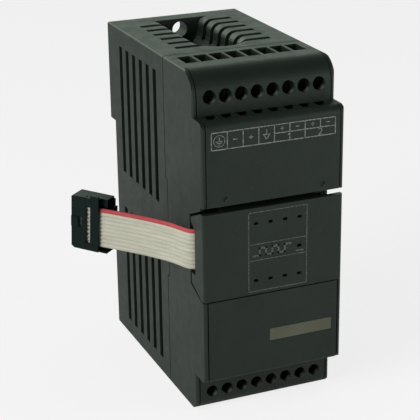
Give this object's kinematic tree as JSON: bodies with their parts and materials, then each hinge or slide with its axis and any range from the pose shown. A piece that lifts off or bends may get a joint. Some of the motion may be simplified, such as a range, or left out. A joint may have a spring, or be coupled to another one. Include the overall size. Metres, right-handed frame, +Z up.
{
  "type": "plc module",
  "caption": "Rail-mounted controller expansion module with screw terminals, status lamps, pull-off centre panel and a short ribbon cable ending in a plug.",
  "frame": {"origin": "centre of the bottom of the housing's bounding box, at the module's base", "axes": "+X to the right across the front face, +Y from the front face towards the rail, +Z up; the front faces -Y"},
  "size_m": [0.0604, 0.0666, 0.09],
  "materials": {
    "shell_plastic": "satin, fine texture",
    "plate_film": "matte",
    "black_plastic": "satin",
    "plated_steel": "zinc plated",
    "clamp_brass": "plated",
    "contact_brass": "bright",
    "board_laminate": "solder mask",
    "clear_plastic": "clear",
    "lamp_resin": "gloss",
    "ribbon_vinyl": "satin",
    "core_steel": "lacquered",
    "coil_winding": "varnished",
    "sleeve_film": "gloss",
    "pale_resin": "matte",
    "chip_resin": "matte"
  },
  "bodies": {
    "module": {"rear_housing": "shell_plastic", "front_housing": "shell_plastic", "lower_cover": "shell_plastic", "name_plate": "plate_film", "terminal_base": "black_plastic", "ribbon_header": "black_plastic", "port_header": "black_plastic", "plug_body": "black_plastic", "plug_cover": "black_plastic", "plug_strain_relief": "black_plastic", "board_link": "black_plastic", "board_screws": "plated_steel", "terminal_contacts": "contact_brass", "port_pins": "contact_brass", "plug_contacts": "contact_brass", "front_board": "board_laminate", "converter_board": "board_laminate", "light_guide": "clear_plastic", "status_leds": "lamp_resin", "ribbon_cable": "ribbon_vinyl", "transformer_core": "core_steel", "transformer_coil": "coil_winding", "choke": "coil_winding", "filter_capacitors": "sleeve_film", "optocouplers": "pale_resin", "converter_chips": "chip_resin", "output_amplifiers": "chip_resin", "voltage_regulator": "chip_resin"},
    "front_panel": {"centre_panel": "shell_plastic"},
    "rail_latch": {"din_latch": "black_plastic"},
    "clamp_screw_1": {"terminal_screw_1": "plated_steel"},
    "clamp_cage_1": {"terminal_cage_1": "clamp_brass"},
    "clamp_screw_2": {"terminal_screw_2": "plated_steel"},
    "clamp_cage_2": {"terminal_cage_2": "clamp_brass"},
    "clamp_screw_3": {"terminal_screw_3": "plated_steel"},
    "clamp_cage_3": {"terminal_cage_3": "clamp_brass"},
    "clamp_screw_4": {"terminal_screw_4": "plated_steel"},
    "clamp_cage_4": {"terminal_cage_4": "clamp_brass"},
    "clamp_screw_5": {"terminal_screw_5": "plated_steel"},
    "clamp_cage_5": {"terminal_cage_5": "clamp_brass"},
    "clamp_screw_6": {"terminal_screw_6": "plated_steel"},
    "clamp_cage_6": {"terminal_cage_6": "clamp_brass"},
    "clamp_screw_7": {"terminal_screw_7": "plated_steel"},
    "clamp_cage_7": {"terminal_cage_7": "clamp_brass"},
    "clamp_screw_8": {"terminal_screw_8": "plated_steel"},
    "clamp_cage_8": {"terminal_cage_8": "clamp_brass"}
  },
  "joints": [
    {"name": "panel_pull", "type": "slide", "parent": "module", "child": "front_panel", "axis": [0, -1, 0], "range_m": [0, 0.03]},
    {"name": "latch_slide", "type": "slide", "parent": "module", "child": "rail_latch", "axis": [0, 0, -1], "range_m": [0, 0.0032], "stiffness_N_per_m": 600},
    {"name": "screw_turn_1", "type": "hinge", "parent": "module", "child": "clamp_screw_1", "pos_m": [-0.0146, -0.02255, 0.0839], "axis": [0, -1, 0], "range_deg": [0, 1440]},
    {"name": "cage_travel_1", "type": "slide", "parent": "module", "child": "clamp_cage_1", "axis": [0, 1, 0], "range_m": [0, 0.0018]},
    {"name": "screw_turn_2", "type": "hinge", "parent": "module", "child": "clamp_screw_2", "pos_m": [-0.01043, -0.02255, 0.0839], "axis": [0, -1, 0], "range_deg": [0, 1440]},
    {"name": "cage_travel_2", "type": "slide", "parent": "module", "child": "clamp_cage_2", "axis": [0, 1, 0], "range_m": [0, 0.0018]},
    {"name": "screw_turn_3", "type": "hinge", "parent": "module", "child": "clamp_screw_3", "pos_m": [-0.00626, -0.02255, 0.0839], "axis": [0, -1, 0], "range_deg": [0, 1440]},
    {"name": "cage_travel_3", "type": "slide", "parent": "module", "child": "clamp_cage_3", "axis": [0, 1, 0], "range_m": [0, 0.0018]},
    {"name": "screw_turn_4", "type": "hinge", "parent": "module", "child": "clamp_screw_4", "pos_m": [-0.00209, -0.02255, 0.0839], "axis": [0, -1, 0], "range_deg": [0, 1440]},
    {"name": "cage_travel_4", "type": "slide", "parent": "module", "child": "clamp_cage_4", "axis": [0, 1, 0], "range_m": [0, 0.0018]},
    {"name": "screw_turn_5", "type": "hinge", "parent": "module", "child": "clamp_screw_5", "pos_m": [0.00209, -0.02255, 0.0839], "axis": [0, -1, 0], "range_deg": [0, 1440]},
    {"name": "cage_travel_5", "type": "slide", "parent": "module", "child": "clamp_cage_5", "axis": [0, 1, 0], "range_m": [0, 0.0018]},
    {"name": "screw_turn_6", "type": "hinge", "parent": "module", "child": "clamp_screw_6", "pos_m": [0.00626, -0.02255, 0.0839], "axis": [0, -1, 0], "range_deg": [0, 1440]},
    {"name": "cage_travel_6", "type": "slide", "parent": "module", "child": "clamp_cage_6", "axis": [0, 1, 0], "range_m": [0, 0.0018]},
    {"name": "screw_turn_7", "type": "hinge", "parent": "module", "child": "clamp_screw_7", "pos_m": [0.01043, -0.02255, 0.0839], "axis": [0, -1, 0], "range_deg": [0, 1440]},
    {"name": "cage_travel_7", "type": "slide", "parent": "module", "child": "clamp_cage_7", "axis": [0, 1, 0], "range_m": [0, 0.0018]},
    {"name": "screw_turn_8", "type": "hinge", "parent": "module", "child": "clamp_screw_8", "pos_m": [0.0146, -0.02255, 0.0839], "axis": [0, -1, 0], "range_deg": [0, 1440]},
    {"name": "cage_travel_8", "type": "slide", "parent": "module", "child": "clamp_cage_8", "axis": [0, 1, 0], "range_m": [0, 0.0018]}
  ],
  "couplings": [
    {"joint": "screw_turn_1", "follows": "cage_travel_1", "rad_per_m": 13963},
    {"joint": "screw_turn_2", "follows": "cage_travel_2", "rad_per_m": 13963},
    {"joint": "screw_turn_3", "follows": "cage_travel_3", "rad_per_m": 13963},
    {"joint": "screw_turn_4", "follows": "cage_travel_4", "rad_per_m": 13963},
    {"joint": "screw_turn_5", "follows": "cage_travel_5", "rad_per_m": 13963},
    {"joint": "screw_turn_6", "follows": "cage_travel_6", "rad_per_m": 13963},
    {"joint": "screw_turn_7", "follows": "cage_travel_7", "rad_per_m": 13963},
    {"joint": "screw_turn_8", "follows": "cage_travel_8", "rad_per_m": 13963}
  ]
}
